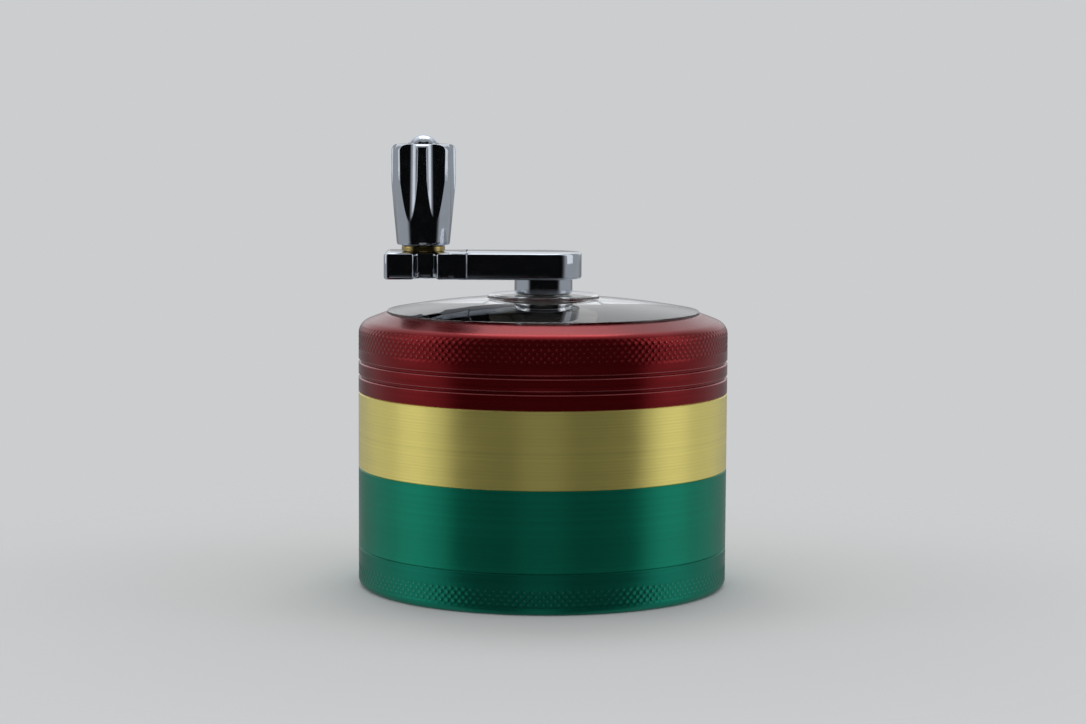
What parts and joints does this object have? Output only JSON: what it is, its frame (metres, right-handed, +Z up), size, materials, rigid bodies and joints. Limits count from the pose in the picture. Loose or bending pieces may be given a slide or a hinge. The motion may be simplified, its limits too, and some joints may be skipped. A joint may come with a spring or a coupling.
{
  "type": "hand-crank sectional mill",
  "caption": "Round metal mill in stacked screwed sections, with a clear domed window in the lid and a crank that turns a toothed rotor over fixed teeth.",
  "frame": {"origin": "centre of the base's underside, on the crank axis", "axes": "+Z up along the crank axis; the crank arm points along -X at rest"},
  "size_m": [0.063, 0.063, 0.0769],
  "materials": {
    "green_anodised": "green anodised, fine turned lines, knurled band on the tray",
    "gold_anodised": "gold anodised, coarse turned lines",
    "red_anodised": "red anodised, satin, knurled band",
    "plain_aluminium": "plain machined",
    "chrome_plate": "polished chrome plate",
    "nickel_plate": "nickel plate, dull",
    "plain_steel": "bright steel",
    "woven_steel": "plain woven stainless wire",
    "brass_washer": "dull brass",
    "white_nylon": "natural nylon",
    "clear_acrylic": "clear, polished",
    "grey_rubber": "matt"
  },
  "bodies": {
    "tray": {"base_tray": "green_anodised"},
    "screen_section": {"screen_chamber": "green_anodised", "screen_mesh": "woven_steel", "screen_hoop": "plain_steel", "screen_snap_ring": "plain_steel"},
    "milling_section": {"milling_chamber": "gold_anodised", "chamber_magnet": "nickel_plate", "glide_ring": "white_nylon"},
    "lid": {"lid_ring": "red_anodised", "window": "clear_acrylic", "window_gasket": "grey_rubber", "shaft_bush": "plain_steel", "thrust_washer": "white_nylon"},
    "crank": {"rotor": "plain_aluminium", "rotor_magnet": "nickel_plate", "rotor_screw": "plain_steel", "lock_washer": "plain_steel", "drive_shaft": "plain_steel", "crank_arm": "chrome_plate", "knob_washer": "brass_washer", "knob_pin": "chrome_plate"},
    "knob": {"crank_knob": "chrome_plate"}
  },
  "joints": [
    {"name": "screen_section_lift", "type": "slide", "parent": "tray", "child": "screen_section", "axis": [0, 0, 1], "range_m": [0, 0.02]},
    {"name": "milling_section_lift", "type": "slide", "parent": "screen_section", "child": "milling_section", "axis": [0, 0, 1], "range_m": [0, 0.02]},
    {"name": "lid_lift", "type": "slide", "parent": "milling_section", "child": "lid", "axis": [0, 0, 1], "range_m": [0, 0.03]},
    {"name": "crank_turn", "type": "hinge", "parent": "lid", "child": "crank", "pos_m": [0, 0, 0.0525], "axis": [0, 0, 1], "continuous": true},
    {"name": "knob_spin", "type": "hinge", "parent": "crank", "child": "knob", "pos_m": [-0.0205, 0, 0.0667], "axis": [0, 0, 1], "continuous": true}
  ]
}
